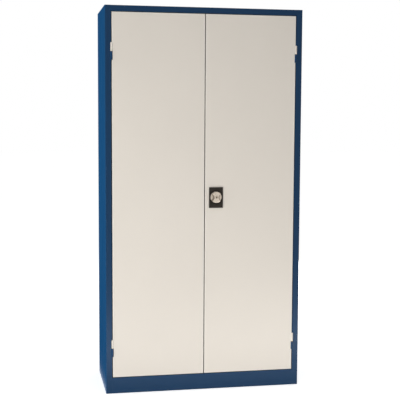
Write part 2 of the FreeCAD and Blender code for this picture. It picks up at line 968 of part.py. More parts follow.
def screw(x, z, y, length):
    """Pan-head screw that points to the front, with a cross recess in its head."""
    shank = round_y(x, z, screw_radius, y - length, y)
    head = round_y(x, z, screw_head_radius, y, y + screw_head)
    rims = [e for e in head.Edges if circle_along(e, y + screw_head)]
    head = head.makeFillet(screw_head / 2, rims)
    return union([shank, head]).cut(cross_recess(x, z, y + screw_head))


def countersink(x, z, y, clearance):
    """The cone of a flush screw head whose face lies at this depth."""
    small, large = screw_radius + clearance, screw_head_radius + clearance
    start = Vector(x, y - flush_head, z)
    return Part.makeCone(small, large, flush_head, start, along_y)


def flush_screw(x, z, y, length):
    """Countersunk screw that points to the front, with a cross recess in its flat head."""
    shank = round_y(x, z, screw_radius, y - length, y)
    return union([shank, countersink(x, z, y, 0)]).cut(cross_recess(x, z, y))


def guide_screws():
    """The screws of both rod guides."""
    y = rod_line + rod_radius + guide_wall
    length = y - door_back + guide_screw_bite
    return Part.makeCompound([screw(x, z, y, length) for x, z in guide_screw_places()])


def plate_screws():
    """Screws from inside, through the case tabs and the door, into the handle plate."""
    y = front + door_sheet + case_wall
    length = y - front + plate_screw_bite
    return Part.makeCompound([screw(handle.x, z, y, length) for z in plate_screw_heights()])


def cover_screw_places():
    """The four corners of the case cover."""
    dx = case_half_width - case_screw_inset
    dz = case_half_height - case_screw_inset
    return [(handle.x + sx * dx, handle.z + sz * dz) for sx in (-1, 1) for sz in (-1, 1)]


def cover_screws():
    """Flush screws of the case cover, which the latch cam passes over."""
    length = case_cover + cover_screw_bite
    places = cover_screw_places()
    return Part.makeCompound([flush_screw(x, z, cover_back, length) for x, z in places])


def lock_case():
    """Cast case: a channel for the racks, bores for rods and shank, and two screw tabs."""
    y0 = front + door_sheet
    x, z = handle.x, handle.z
    body = block(
        x - case_half_width,
        x + case_half_width,
        y0,
        cover_front,
        z - case_half_height,
        z + case_half_height,
    )
    half_tab = case_tab_width / 2
    low, high = plate_screw_heights()
    reach = plate_screw_inset
    tab = block(x - half_tab, x + half_tab, y0, y0 + case_wall, low - reach, high + reach)
    body = union([body, tab])
    channel = rod_offset + rack_width / 2 + rack_play
    inner_z = case_half_height - case_wall
    body = body.cut(
        block(
            x - channel,
            x + channel,
            y0 + case_wall,
            cover_front + overrun,
            z - inner_z,
            z + inner_z,
        )
    )
    bore = shank_radius + running_fit
    body = body.cut(round_y(x, z, bore, y0 - overrun, y0 + case_wall + overrun))
    rod_bore = rod_radius + running_fit
    upper = round_z(x - rod_offset, rod_line, rod_bore, z, z + case_half_height + overrun)
    body = body.cut(upper).cut(turned_half(upper))
    for screw_x, screw_z in cover_screw_places():
        y1 = cover_front - cover_screw_bite - loose_fit
        hole = screw_radius + running_fit
        body = body.cut(round_y(screw_x, screw_z, hole, y1, cover_front + overrun))
    for screw_z in (low, high):
        hole = screw_radius + loose_fit
        body = body.cut(round_y(x, screw_z, hole, y0 - overrun, y0 + case_wall + overrun))
    return body


def lock_case_cover():
    """Flat cover over the racks, with the pinion's rear bore."""
    x, z = handle.x, handle.z
    cover = block(
        x - case_half_width,
        x + case_half_width,
        cover_front,
        cover_back,
        z - case_half_height,
        z + case_half_height,
    )
    ends = (cover_front - overrun, cover_back + overrun)
    cover = cover.cut(round_y(x, z, shank_radius + running_fit, *ends))
    for screw_x, screw_z in cover_screw_places():
        cover = cover.cut(round_y(screw_x, screw_z, screw_radius + loose_fit, *ends))
        cover = cover.cut(countersink(screw_x, screw_z, cover_back, loose_fit))
    return cover


def latch_cam():
    """Flat cam on the spindle. It hangs down and turns up behind the left door's keeper."""
    x, z = handle.x, handle.z
    eye = round_y(x, z, cam_eye_radius, hub_back, cam_back)
    half = cam_width / 2
    tip_z = z - cam_reach
    arm = block(x - half, x + half, hub_back, cam_back, tip_z, z)
    corners = [e for e in arm.Edges if abs(e.tangentAt(e.FirstParameter).y) > 0.5]
    corners = [e for e in corners if abs(e.Vertexes[0].Z - tip_z) < running_fit]
    arm = arm.makeFillet(half / 2, corners)
    hole = square_bar(spindle_square / 2 + running_fit, hub_back - overrun, cam_back + overrun)
    return union([eye, arm]).cut(hole)


def cam_washer_ring():
    """Washer behind the cam."""
    ring = round_y(handle.x, handle.z, cam_washer_radius, cam_back, nut_front)
    hole = spindle_thread_radius + loose_fit
    return ring.cut(round_y(handle.x, handle.z, hole, cam_back - overrun, nut_front + overrun))


def cam_nut():
    """Hexagon nut on the spindle's end."""
    corner = nut_across / 2 / math.cos(math.pi / 6)
    points = []
    for side in range(6):
        angle = side * math.pi / 3
        dx, dz = corner * math.cos(angle), corner * math.sin(angle)
        points.append(Vector(handle.x + dx, nut_front, handle.z + dz))
    nut = Part.Face(Part.makePolygon(points + points[:1])).extrude(along_y * nut_height)
    hole = spindle_thread_radius + running_fit
    y1 = nut_front + nut_height + overrun
    return nut.cut(round_y(handle.x, handle.z, hole, nut_front - overrun, y1))


def save(name, shape):
    """Write one node and print what it holds."""
    bad = [s for s in shape.Solids if not s.isValid() or not s.isClosed()]
    print(name, len(shape.Solids), "solids", round(shape.Volume), "mm3", "BAD" if bad else "")
    shape.exportStep(os.path.join("parts", name + ".step"))


# Body of the cupboard
left_side = side_panel()
save("left_side_panel", left_side)
save("right_side_panel", mirrored(left_side))
save("back_panel", back_panel())
save("top_panel", top_panel())
save("bottom_panel", bottom_panel())
save("base_frame", base_frame())
save("upper_door_stop", door_stop(header - stop_height))
save("lower_door_stop", door_stop(plinth_face))
for place, y in (("front", front_upright), ("rear", rear_upright)):
    strip = upright(y)
    save(place + "_left_upright", strip)
    save(place + "_right_upright", mirrored(strip))

# Shelves
for level in range(1, shelf_count + 1):
    save(f"shelf_{level}", shelf(level))
    save(f"shelf_{level}_clips", shelf_clips(level))

# Hinges
left_frame_hinges = frame_hinges()
left_door_hinges = door_hinges()
save("left_frame_hinges", left_frame_hinges)
save("right_frame_hinges", mirrored(left_frame_hinges))
save("left_door_hinges", left_door_hinges)
save("right_door_hinges", mirrored(left_door_hinges))
save("hinge_pins", hinge_pins())
save("hinge_washers", hinge_washers())

# Doors
left_stiffener = stiffener()
save("left_door_panel", door_panel())
save("right_door_panel", lock_door_panel())
save("left_door_stiffener", left_stiffener)
save("right_door_stiffener", mirrored(left_stiffener))
save("left_door_buffers", buffers(-1))
save("right_door_buffers", buffers(1))
save("left_door_keeper", keeper())

# Handle and lock
save("lock_escutcheon", escutcheon())
save("turn_handle", turn_handle())
save("cylinder_sleeve", cylinder_sleeve())
save("key_plug", key_plug())
save("lock_spindle", spindle())
save("lock_pinion", pinion())
save("latch_cam", latch_cam())
save("cam_washer", cam_washer_ring())
save("cam_nut", cam_nut())
save("lock_case", lock_case())
save("lock_case_cover", lock_case_cover())
save("case_cover_screws", cover_screws())
save("escutcheon_screws", plate_screws())

# Racks, rods and guides
left_rack = upper_rack()
save("upper_rack", left_rack)
save("lower_rack", turned_half(left_rack))
(upper_x, upper_guide), (lower_x, lower_guide) = guide_places()
upper_tip = header - stop_height - rod_tip_gap
lower_tip = plinth_face + stop_height + rod_tip_gap
save("upper_lock_rod", lock_rod(upper_x, handle.z + rack_above, upper_tip, 1))
save("lower_lock_rod", lock_rod(lower_x, handle.z - rack_above, lower_tip, -1))
save("upper_rod_guide", rod_guide(upper_x, upper_guide))
save("lower_rod_guide", rod_guide(lower_x, lower_guide))
save("rod_guide_screws", guide_screws())
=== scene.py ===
# %% [markdown]
# A tall steel cupboard with two flush doors and a round turn handle.
#
# The sheet metal, the hinges and the lock were drawn in CAD, and arrive here with their real
# sizes. This lesson gives them what CAD leaves out: paint with its orange peel and its thin
# edges, a painted highlight on the folds and painted shade in gaps and hollows, plating with its
# scratches, moulded grain, and the welds that hold the sheets together.
# Each step says what the thing is on a real cupboard and why it is made this way.

# %% Load the cupboard
import json
import math

import bmesh
import bpy
from mathutils import Matrix, Vector

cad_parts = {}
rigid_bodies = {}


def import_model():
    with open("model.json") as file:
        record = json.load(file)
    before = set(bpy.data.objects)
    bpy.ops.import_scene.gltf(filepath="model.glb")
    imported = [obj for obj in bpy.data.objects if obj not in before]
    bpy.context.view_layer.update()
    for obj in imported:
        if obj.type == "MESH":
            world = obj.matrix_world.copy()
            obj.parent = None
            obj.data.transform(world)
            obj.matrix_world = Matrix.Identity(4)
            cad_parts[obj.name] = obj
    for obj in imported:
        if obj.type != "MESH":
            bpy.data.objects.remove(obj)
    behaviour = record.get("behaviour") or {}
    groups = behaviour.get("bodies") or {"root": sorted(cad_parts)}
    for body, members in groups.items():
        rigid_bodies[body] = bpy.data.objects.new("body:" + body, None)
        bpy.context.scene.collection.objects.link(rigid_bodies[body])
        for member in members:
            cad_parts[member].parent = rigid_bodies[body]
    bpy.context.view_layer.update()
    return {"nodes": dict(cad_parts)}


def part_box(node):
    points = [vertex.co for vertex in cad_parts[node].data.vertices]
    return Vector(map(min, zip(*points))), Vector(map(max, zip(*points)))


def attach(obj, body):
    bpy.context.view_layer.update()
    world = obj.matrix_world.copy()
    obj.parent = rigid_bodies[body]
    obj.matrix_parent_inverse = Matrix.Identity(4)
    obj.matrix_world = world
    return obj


for leftover in list(bpy.data.objects):
    bpy.data.objects.remove(leftover)
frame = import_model()
nodes = frame["nodes"]

# %% [markdown]
# The camera stands where the photographer stood: a little left of the cupboard, at eye height,
# looking slightly down. Its place and its focal length were solved from the corners of the
# cupboard, so it is set by numbers and not by hand. A matrix built from the three directions of
# the camera (right, up, backwards) leaves no doubt about the order of rotations.

# %% Camera
EYE = Vector((-0.8989, -4.77665, 1.40582))
YAW = 0.1896
PITCH = -0.09064
ROLL = 0.00489
LENS_MM = 82.5
SENSOR_MM = 36.0


def camera_matrix(eye, yaw, pitch, roll):
    """World matrix of a camera that looks along +Y, turned to the right, up and about itself."""
    level = Vector((math.cos(yaw), -math.sin(yaw), 0))
    ahead = Vector((math.sin(yaw) * math.cos(pitch), math.cos(yaw) * math.cos(pitch),
                    math.sin(pitch)))
    over = level.cross(ahead)
    right = level * math.cos(roll) + over * math.sin(roll)
    up = over * math.cos(roll) - level * math.sin(roll)
    turn = Matrix((right, up, -ahead)).transposed()
    return Matrix.Translation(eye) @ turn.to_4x4()


camera = bpy.data.objects.new("camera", bpy.data.cameras.new("camera"))
bpy.context.collection.objects.link(camera)
camera.matrix_world = camera_matrix(EYE, YAW, PITCH, ROLL)
camera.data.lens = LENS_MM
camera.data.sensor_width = SENSOR_MM
camera.data.dof.use_dof = False
bpy.context.scene.camera = camera
bpy.context.scene.view_settings.view_transform = "Standard"
print("camera at", tuple(round(v, 2) for v in EYE), "lens", LENS_MM)

# %% [markdown]
# Shaders are trees of nodes. Two small helpers keep the cells short: one adds a node and feeds
# its sockets, with a link where it is given another node's socket and a plain value otherwise;
# the other starts a shared group with named inputs and outputs.

# %% Helpers for node trees
KINDS = {float: "NodeSocketFloat", tuple: "NodeSocketColor"}


def add(tree, kind, feeds=None, **settings):
    """A node in this tree. Each feed is a socket to link or a plain value."""
    made = tree.nodes.new(kind)
    for name, value in settings.items():
        setattr(made, name, value)
    for name, value in (feeds or {}).items():
        if isinstance(value, bpy.types.NodeSocket):
            tree.links.new(value, made.inputs[name])
        else:
            made.inputs[name].default_value = value
    return made


def maths(tree, operation, a, b=0.0, clamp=False):
    """The result of one sum on two numbers or sockets."""
    return add(tree, "ShaderNodeMath", {0: a, 1: b}, operation=operation,
               use_clamp=clamp).outputs[0]


def mix_colour(tree, share, a, b, blend="MIX"):
    """Colour a turned towards colour b by a share from 0 to 1."""
    mix = add(tree, "ShaderNodeMix", data_type="RGBA", blend_type=blend)
    for slot, value in ((0, share), (6, a), (7, b)):
        if isinstance(value, bpy.types.NodeSocket):
            tree.links.new(value, mix.inputs[slot])
        else:
            mix.inputs[slot].default_value = value
    return mix.outputs[2]


def ramp(tree, value, low, high, start=0.0, end=1.0):
    """A value between low and high stretched over start to end, and held beyond them."""
    return add(tree, "ShaderNodeMapRange", {"Value": value, "From Min": low, "From Max": high,
                                            "To Min": start, "To Max": end}).outputs[0]


def noise(tree, where, scale, detail=2.0, roughness=0.5):
    """A cloudy value from 0 to 1 at these coordinates."""
    return add(tree, "ShaderNodeTexNoise", {"Vector": where, "Scale": scale, "Detail": detail,
                                            "Roughness": roughness}).outputs[0]


def on_piece(tree):
    """Coordinates that are fixed to the piece, in metres, so that a pattern moves with it."""
    return add(tree, "ShaderNodeTexCoord").outputs["Object"]


def effect(name, inputs, outputs):
    """A shared group: its tree, the sockets that come in, and the node that they go out by."""
    tree = bpy.data.node_groups.new(name, "ShaderNodeTree")
    for label, value in inputs.items():
        socket = tree.interface.new_socket(label, in_out="INPUT", socket_type=KINDS[type(value)])
        socket.default_value = value
    for label, value in outputs.items():
        tree.interface.new_socket(label, in_out="OUTPUT", socket_type=KINDS[value])
    way_in = tree.nodes.new("NodeGroupInput").outputs
    way_out = tree.nodes.new("NodeGroupOutput").inputs
    return tree, way_in, way_out


def use(tree, name, **feeds):
    """The outputs of a shared group, placed in a material with its own values."""
    placed = add(tree, "ShaderNodeGroup", node_tree=bpy.data.node_groups[name])
    for label, value in feeds.items():
        if isinstance(value, bpy.types.NodeSocket):
            tree.links.new(value, placed.inputs[label])
        else:
            placed.inputs[label].default_value = value
    return placed.outputs


# %% [markdown]
# Powder coat is sprayed on dry and melted in an oven. It sets with a fine orange peel, bumps
# about a millimetre and a half across, and with faint clouds where the film is thicker. The peel
# could be sculpted, but on two metres of sheet that is millions of faces, so it is a height that
# a Bump node turns into light and shade. The group puts out the clouded colour, the roughness
# and that height.

# %% Shared effect: powder coat skin
CLOUD_SCALE = 2.2
GLOSS_PATCH_SCALE = 14.0
GLOSS_SPREAD = 0.04
tree, given, out = effect(
    "powder_skin",
    {"Colour": (0.5, 0.5, 0.5, 1.0), "Clouds": 0.05, "Peel": 650.0, "Gloss": 0.4},
    {"Colour": tuple, "Roughness": float, "Height": float},
)
here = on_piece(tree)
clouds = maths(tree, "SUBTRACT", noise(tree, here, CLOUD_SCALE, 3.0), 0.5)
lift = maths(tree, "ADD", maths(tree, "MULTIPLY", clouds, given["Clouds"]), 1.0)
grey = add(tree, "ShaderNodeCombineColor", {0: lift, 1: lift, 2: lift}).outputs[0]
tree.links.new(mix_colour(tree, 1.0, given["Colour"], grey, "MULTIPLY"), out["Colour"])
patches = ramp(tree, noise(tree, here, GLOSS_PATCH_SCALE, 4.0), 0.3, 0.7, -GLOSS_SPREAD,
               GLOSS_SPREAD)
tree.links.new(maths(tree, "ADD", given["Gloss"], patches, True), out["Roughness"])
peel = noise(tree, here, given["Peel"], 1.0)
tree.links.new(peel, out["Height"])
print("powder_skin:", len(tree.nodes), "nodes")

# %% [markdown]
# Molten powder draws back from every fold, so the film is thinnest on the edges and the surface
# smoother there. The lighter colour along the folds is a painted highlight, standing in for the
# light that the rounded folds catch. A Bevel node finds the edges. It gives the normal that the
# surface would have if its edges were rounded, and where that differs from the real normal there
# is an edge. This needs no extra faces and no hand painting.

# %% Shared effect: thin film and painted highlight along the folds
FOLD_FROM, FOLD_FULL = 0.01, 0.22
BREAK_UP_SCALE = 160.0
tree, given, out = effect("thin_film_and_fold_highlight", {"Reach": 0.003, "Break-up": 0.3}, {"Edge": float})
rounded = add(tree, "ShaderNodeBevel", {"Radius": given["Reach"]}, samples=6).outputs[0]
real = add(tree, "ShaderNodeNewGeometry").outputs["Normal"]
same = add(tree, "ShaderNodeVectorMath", {0: rounded, 1: real}, operation="DOT_PRODUCT")
turned = maths(tree, "SUBTRACT", 1.0, same.outputs["Value"], True)
edge = ramp(tree, turned, FOLD_FROM, FOLD_FULL)
uneven = maths(tree, "MULTIPLY", noise(tree, on_piece(tree), BREAK_UP_SCALE, 3.0),
               given["Break-up"])
tree.links.new(maths(tree, "SUBTRACT", edge, uneven, True), out["Edge"])
print("thin_film_and_fold_highlight:", len(tree.nodes), "nodes")

# %% [markdown]
# Dust falls, so it lies on what faces up: the roof, the shelves, the lips of the doors. The mask
# is the upward part of the normal, broken up by a soft noise.

# %% Shared effect: settled dust
LEVEL_ENOUGH = 0.6
DRIFT_SCALE = 6.0
THINNEST_DRIFT = 0.35
tree, given, out = effect("settled_dust", {"Amount": 0.3}, {"Dust": float})
facing = add(tree, "ShaderNodeSeparateXYZ",
             {0: add(tree, "ShaderNodeNewGeometry").outputs["Normal"]}).outputs["Z"]
lying = ramp(tree, facing, LEVEL_ENOUGH, 1.0)
drifts = ramp(tree, noise(tree, on_piece(tree), DRIFT_SCALE, 6.0, 0.6), 0.25, 0.75,
              THINNEST_DRIFT, 1.0)
tree.links.new(
    maths(tree, "MULTIPLY", maths(tree, "MULTIPLY", lying, drifts), given["Amount"], True),
    out["Dust"],
)
print("settled_dust:", len(tree.nodes), "nodes")

# %% [markdown]
# Bare metal shows how it was made and handled. Drawn, turned and ground steel all carry fine
# lines, which are a noise stretched many times longer than it is wide. The direction of the
# stretch is an input, so that one group serves a rod, a disc and a flat cam: with Upright at 1
# the lines run up the piece, with 0 they run across it.

# %% Shared effect: fine lines in metal
WEAR_SCALE = 90.0
WEAR_FROM, WEAR_FULL = 0.52, 0.68
tree, given, out = effect(
    "fine_lines", {"Across": 900.0, "Along": 30.0, "Upright": 0.0}, {"Lines": float, "Wear": float}
)
here = on_piece(tree)
axis = add(tree, "ShaderNodeSeparateXYZ", {0: here})
deep_step = maths(tree, "MULTIPLY", axis.outputs["Y"], given["Across"])
rise_scale = add(tree, "ShaderNodeMix", {0: given["Upright"], 2: given["Across"],
                                         3: given["Along"]}).outputs[0]
run_scale = add(tree, "ShaderNodeMix", {0: given["Upright"], 2: given["Along"],
                                        3: given["Across"]}).outputs[0]
side_step = maths(tree, "MULTIPLY", axis.outputs["X"], run_scale)
rise_step = maths(tree, "MULTIPLY", axis.outputs["Z"], rise_scale)
stretched = add(tree, "ShaderNodeCombineXYZ", {0: side_step, 1: deep_step, 2: rise_step})
tree.links.new(noise(tree, stretched.outputs[0], 1.0, 3.0, 0.6), out["Lines"])
worn = ramp(tree, noise(tree, here, WEAR_SCALE, 5.0, 0.65), WEAR_FROM, WEAR_FULL)
tree.links.new(worn, out["Wear"])
print("fine_lines:", len(tree.nodes), "nodes")

# %% [markdown]
# Moulded plastic, rubber and die castings take the grain of their mould: small rounded pits with
# no direction. Cell noise gives such pits, and a smoother noise on top keeps them from looking
# printed.

# %% Shared effect: grain from a mould
PIT_DEPTH_SCALE = 700.0
tree, given, out = effect("mould_grain", {"Cells": 1600.0, "Cloud": 60.0},
                          {"Height": float, "Patches": float})
here = on_piece(tree)
cells = add(tree, "ShaderNodeTexVoronoi", {"Vector": here, "Scale": given["Cells"]},
            feature="SMOOTH_F1")
pits = maths(tree, "MULTIPLY", cells.outputs["Distance"],
             noise(tree, here, PIT_DEPTH_SCALE, 2.0))
tree.links.new(pits, out["Height"])
tree.links.new(noise(tree, here, given["Cloud"], 4.0), out["Patches"])
print("mould_grain:", len(tree.nodes), "nodes")

# %% [markdown]
# Fingers polish what they reach and push dirt into the rest, so hollows, corners and the roots of
# fittings turn dull and grimy, and their colour is darkened with painted shade as well. The Ambient
# Occlusion node measures how much of the open air a point sees within a short reach, and the colour
# darkens where it sees little. Where the darkening starts and where it is thickest are inputs: an
# open corner sees half of the air, a narrow gap much less. The result is broken up by noise,
# because dirt never has a clean border.

# %% Shared effect: painted shade and grime in corners
SPOT_SCALE = 240.0
THINNEST_SPOT = 0.55
tree, given, out = effect("shade_and_grime_in_corners",
                          {"Reach": 0.006, "Amount": 0.6, "Start": 0.92, "Full": 0.45},
                          {"Grime": float})
open_air = add(tree, "ShaderNodeAmbientOcclusion", {"Distance": given["Reach"]},
               samples=8).outputs["AO"]
hidden = ramp(tree, open_air, given["Start"], given["Full"])
spots = ramp(tree, noise(tree, on_piece(tree), SPOT_SCALE, 5.0, 0.6), 0.3, 0.7,
             THINNEST_SPOT, 1.0)
tree.links.new(
    maths(tree, "MULTIPLY", maths(tree, "MULTIPLY", hidden, spots), given["Amount"], True),
    out["Grime"],
)
print("shade_and_grime_in_corners:", len(tree.nodes), "nodes")

# %% [markdown]
# Every finish is one Principled shader. The helper below starts a material and hands back its
# tree and its shader. What is the same all over a finish, such as how metallic it is, is set on
# the shader itself, and only what changes over the surface comes through a link.

# %% Start a finish
finishes = {}


def finish(name, **constants):
    """A new finish: its node tree and its shader, with these constants set."""
    material = bpy.data.materials.new(name)
    material.use_nodes = True
    shader = material.node_tree.nodes["Principled BSDF"]
    for label, value in constants.items():
        shader.inputs[label.replace("_", " ")].default_value = value
    finishes[name] = material
    return material.node_tree, shader


def bump(tree, shader, height, distance):
    """Lets a height, in metres for a full step, tilt the light on this shader."""
    tilt = add(tree, "ShaderNodeBump", {"Height": height, "Distance": distance,
                                        "Strength": 1.0})
    tree.links.new(tilt.outputs[0], shader.inputs["Normal"])


# %% [markdown]
# The body is a deep blue powder coat, the doors a warm light grey one, and the shelves a cooler
# grey. They are one recipe with three colours: skin, a painted highlight on the folds, and dust on
# what faces up. On the doors, painted shade darkens the narrow gap between them.

# %% Powder coats
DUST_COLOUR = (0.42, 0.40, 0.36, 1.0)
# Colour of the painted shade and grime in gaps and corners.
SHADE_AND_GRIME_COLOUR = (0.10, 0.07, 0.045, 1.0)
GAP_REACH, GAP_START, GAP_FULL = 0.012, 0.50, 0.20
PEEL_HEIGHT = 0.00003
FOLD_POLISH = 0.08


def powder_coat(name, colour, fold_highlight_colour, gloss, sheen, fold_reach, dust, gap_painted_shade=0.0):
    """Powder coat in one colour, with a painted highlight on its folds and, if asked, painted shade
    in narrow gaps.
    """
    tree, shader = finish(name, Specular_IOR_Level=sheen)
    skin = use(tree, "powder_skin", Colour=colour, Gloss=gloss)
    fold_film_and_highlight = use(tree, "thin_film_and_fold_highlight", Reach=fold_reach)["Edge"]
    fallen = use(tree, "settled_dust", Amount=dust)["Dust"]
    # Painted highlight: the colour turns lighter along the folds.
    tone = mix_colour(tree, fold_film_and_highlight, skin["Colour"], fold_highlight_colour)
    if gap_painted_shade:
        shade_and_grime = use(tree, "shade_and_grime_in_corners", Reach=GAP_REACH, Amount=gap_painted_shade, Start=GAP_START,
                    Full=GAP_FULL)["Grime"]
        # Painted shade: the colour darkens in narrow gaps.
        tone = mix_colour(tree, shade_and_grime, tone, SHADE_AND_GRIME_COLOUR)
    tree.links.new(mix_colour(tree, fallen, tone, DUST_COLOUR), shader.inputs["Base Color"])
    polish = maths(tree, "MULTIPLY", fold_film_and_highlight, -FOLD_POLISH)
    rough = maths(tree, "ADD", skin["Roughness"], polish, True)
    tree.links.new(maths(tree, "MAXIMUM", rough, fallen), shader.inputs["Roughness"])
    bump(tree, shader, skin["Height"], PEEL_HEIGHT)


powder_coat("body_blue", (0.0030, 0.029, 0.078, 1), (0.012, 0.062, 0.13, 1), gloss=0.40,
            sheen=0.2, fold_reach=0.003, dust=0.12)
# The doors carry painted shade in the gap between them.
powder_coat("door_grey", (0.85, 0.79, 0.708, 1), (0.92, 0.89, 0.84, 1), gloss=0.5,
            sheen=0.2, fold_reach=0.008, dust=0.10, gap_painted_shade=0.95)
powder_coat("shelf_grey", (0.66, 0.63, 0.58, 1), (0.74, 0.72, 0.68, 1), gloss=0.5,
            sheen=0.2, fold_reach=0.002, dust=0.30)
print("powder coats:", sorted(finishes))

# %% [markdown]
# Zinc plating is a thin bright skin with a bluish cast and dull patches where it has started to
# oxidise. Bright steel is darker and keeps a film of oil. The knob is chromed and worn, the key
# plug nickel plated brass gone brown. All are fully metallic, so their colour tints what they
# mirror, and the detail is in the roughness.

# %% Plated and bare metals
WORN_MATT = 0.15


def drawn_metal(name, bright, dull, rough, spread, across, along, upright, depth, corner_shade_and_dirt=0.5,
                corner_shade_reach=0.004):
    """Metal with fine lines: dull patches between the bright ones, and painted shade with grime in
    its corners.
    """
    tree, shader = finish(name, Metallic=1.0)
    made = use(tree, "fine_lines", Across=across, Along=along, Upright=upright)
    shade_and_grime = use(tree, "shade_and_grime_in_corners", Amount=corner_shade_and_dirt, Reach=corner_shade_reach)["Grime"]
    tone = mix_colour(tree, made["Wear"], bright, dull)
    # Painted shade and grime: the colour darkens in the corners.
    tree.links.new(mix_colour(tree, shade_and_grime, tone, SHADE_AND_GRIME_COLOUR), shader.inputs["Base Color"])
    streaks = ramp(tree, made["Lines"], 0.3, 0.7, rough - spread, rough + spread)
    matt = maths(tree, "MULTIPLY", maths(tree, "MAXIMUM", made["Wear"], shade_and_grime), WORN_MATT)
    tree.links.new(maths(tree, "ADD", streaks, matt, True), shader.inputs["Roughness"])
    bump(tree, shader, made["Lines"], depth)


drawn_metal("zinc", (0.56, 0.57, 0.57, 1), (0.40, 0.41, 0.41, 1), rough=0.38, spread=0.08,
            across=700.0, along=40.0, upright=1.0, depth=0.00002, corner_shade_and_dirt=0.7)
drawn_metal("bright_steel", (0.52, 0.51, 0.49, 1), (0.30, 0.28, 0.25, 1), rough=0.28, spread=0.08,
            across=1200.0, along=60.0, upright=0.0, depth=0.00001)
drawn_metal("brass", (0.62, 0.42, 0.16, 1), (0.30, 0.18, 0.08, 1), rough=0.34, spread=0.10,
            across=900.0, along=300.0, upright=0.0, depth=0.00001)
drawn_metal("brass_nickel", (0.20, 0.155, 0.11, 1), (0.12, 0.09, 0.06, 1), rough=0.32, spread=0.08,
            across=900.0, along=200.0, upright=1.0, depth=0.000008, corner_shade_and_dirt=0.9)
# On the chrome knob, strong painted shade darkens the hollows beside the grip.
drawn_metal("chrome", (0.60, 0.52, 0.44, 1), (0.46, 0.39, 0.32, 1), rough=0.20, spread=0.05,
            across=1500.0, along=500.0, upright=1.0, depth=0.000004, corner_shade_and_dirt=1.0, corner_shade_reach=0.022)
print("finishes so far:", sorted(finishes))

# %% [markdown]
# The lock case is a raw die casting, the plate round the knob a black moulding, the rod guides
# are nylon and the buffers rubber. All four take their grain from a mould, each at its own size
# and depth.

# %% Cast and moulded finishes
SMOOTHER_PATCH, ROUGHER_PATCH = 0.05, 0.07


def moulded(name, colour, patch_colour, rough, cells, depth, **constants):
    """Cast or moulded finish with grain and uneven patches."""
    tree, shader = finish(name, **constants)
    grain = use(tree, "mould_grain", Cells=cells)
    patches = ramp(tree, grain["Patches"], 0.35, 0.65)
    tree.links.new(mix_colour(tree, patches, colour, patch_colour), shader.inputs["Base Color"])
    tree.links.new(ramp(tree, grain["Patches"], 0.3, 0.7, rough - SMOOTHER_PATCH,
                        rough + ROUGHER_PATCH), shader.inputs["Roughness"])
    bump(tree, shader, grain["Height"], depth)


moulded("die_cast", (0.42, 0.43, 0.44, 1), (0.34, 0.35, 0.36, 1), rough=0.48, cells=1200.0,
        depth=0.00006, Metallic=1.0)
moulded("black_plastic", (0.017, 0.013, 0.010, 1), (0.027, 0.022, 0.017, 1), rough=0.46,
        cells=1800.0, depth=0.00005, Specular_IOR_Level=0.2)
moulded("guide_nylon", (0.045, 0.045, 0.046, 1), (0.060, 0.060, 0.060, 1), rough=0.50,
        cells=900.0, depth=0.00004, Specular_IOR_Level=0.3)
moulded("buffer_rubber", (0.022, 0.022, 0.022, 1), (0.040, 0.039, 0.037, 1), rough=0.78,
        cells=700.0, depth=0.00008, Specular_IOR_Level=0.3)
print("all finishes:", len(finishes))

# %% [markdown]
# The pieces from CAD already know which finish they want: each carries an empty material with the
# name of its slot. So dressing them is one loop that swaps those for the finishes made above.

# %% Dress the pieces from CAD
dressed = {}
for name, piece in nodes.items():
    for slot in piece.material_slots:
        kind = slot.material.name.split(".")[0]
        slot.material = finishes[kind]
        dressed[kind] = dressed.get(kind, 0) + 1
print("dressed:", dressed)

# %% [markdown]
# Sheets this thin are joined by spot welds: two electrodes pinch the flanges and leave a shallow
# round print with a raised rim, one every ten to fifteen centimetres. A bump could fake them, but
# seen along the flange they stand out, so each is a small lathe of rings, a fifth of a millimetre
# high, whose outermost ring dips into the sheet. All prints on one door or on the body make one
# piece.

# %% Spot welds
# Radius and rise of each ring, in metres.
WELD_RINGS = ((0.0, 0.00004), (0.0019, 0.00002), (0.0026, 0.00020), (0.0031, 0.00018),
              (0.0038, -0.00005))
WELD_SIDES = 20
FLANGE_MIDDLE = 0.0075
FOOT_SHEET = 0.0008
SIDE_PITCH, ROOF_PITCH, DOOR_PITCH = 0.125, 0.11, 0.14
LOWEST_WELD, WELD_MARGIN, DOOR_WELD_MARGIN = 0.05, 0.06, 0.03
REARWARD, RIGHTWARD = Vector((0, 1, 0)), Vector((1, 0, 0))


def place_piece(name, shape, body, kind):
    """Turns a finished bmesh into a piece that rides on a body in one of the finishes."""
    mesh = bpy.data.meshes.new(name)
    shape.to_mesh(mesh)
    shape.free()
    mesh.shade_smooth()
    mesh.materials.append(finishes[kind])
    piece = bpy.data.objects.new(name, mesh)
    bpy.context.collection.objects.link(piece)
    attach(piece, body)
    print(name, "on", body, "-", len(mesh.polygons), "faces")
    return piece


def spot_weld(shape, place, out, across):
    """One round print on a sheet: out is the way that the sheet faces."""
    along = out.cross(across)
    middle = shape.verts.new(place + out * WELD_RINGS[0][1])
    rings = []
    for radius, rise in WELD_RINGS[1:]:
        ring = []
        for step in range(WELD_SIDES):
            angle = 2 * math.pi * step / WELD_SIDES
            spoke = across * math.cos(angle) + along * math.sin(angle)
            ring.append(shape.verts.new(place + spoke * radius + out * rise))
        rings.append(ring)
    for a in range(WELD_SIDES):
        b = (a + 1) % WELD_SIDES
        shape.faces.new((middle, rings[0][a], rings[0][b]))
        for inner, outer in zip(rings, rings[1:]):
            shape.faces.new((inner[a], outer[a], outer[b], inner[b]))


def evenly(start, end, pitch):
    """Places from start to end, about a pitch apart."""
    count = max(1, round((end - start) / pitch))
    return [start + (end - start) * step / count for step in range(count + 1)]


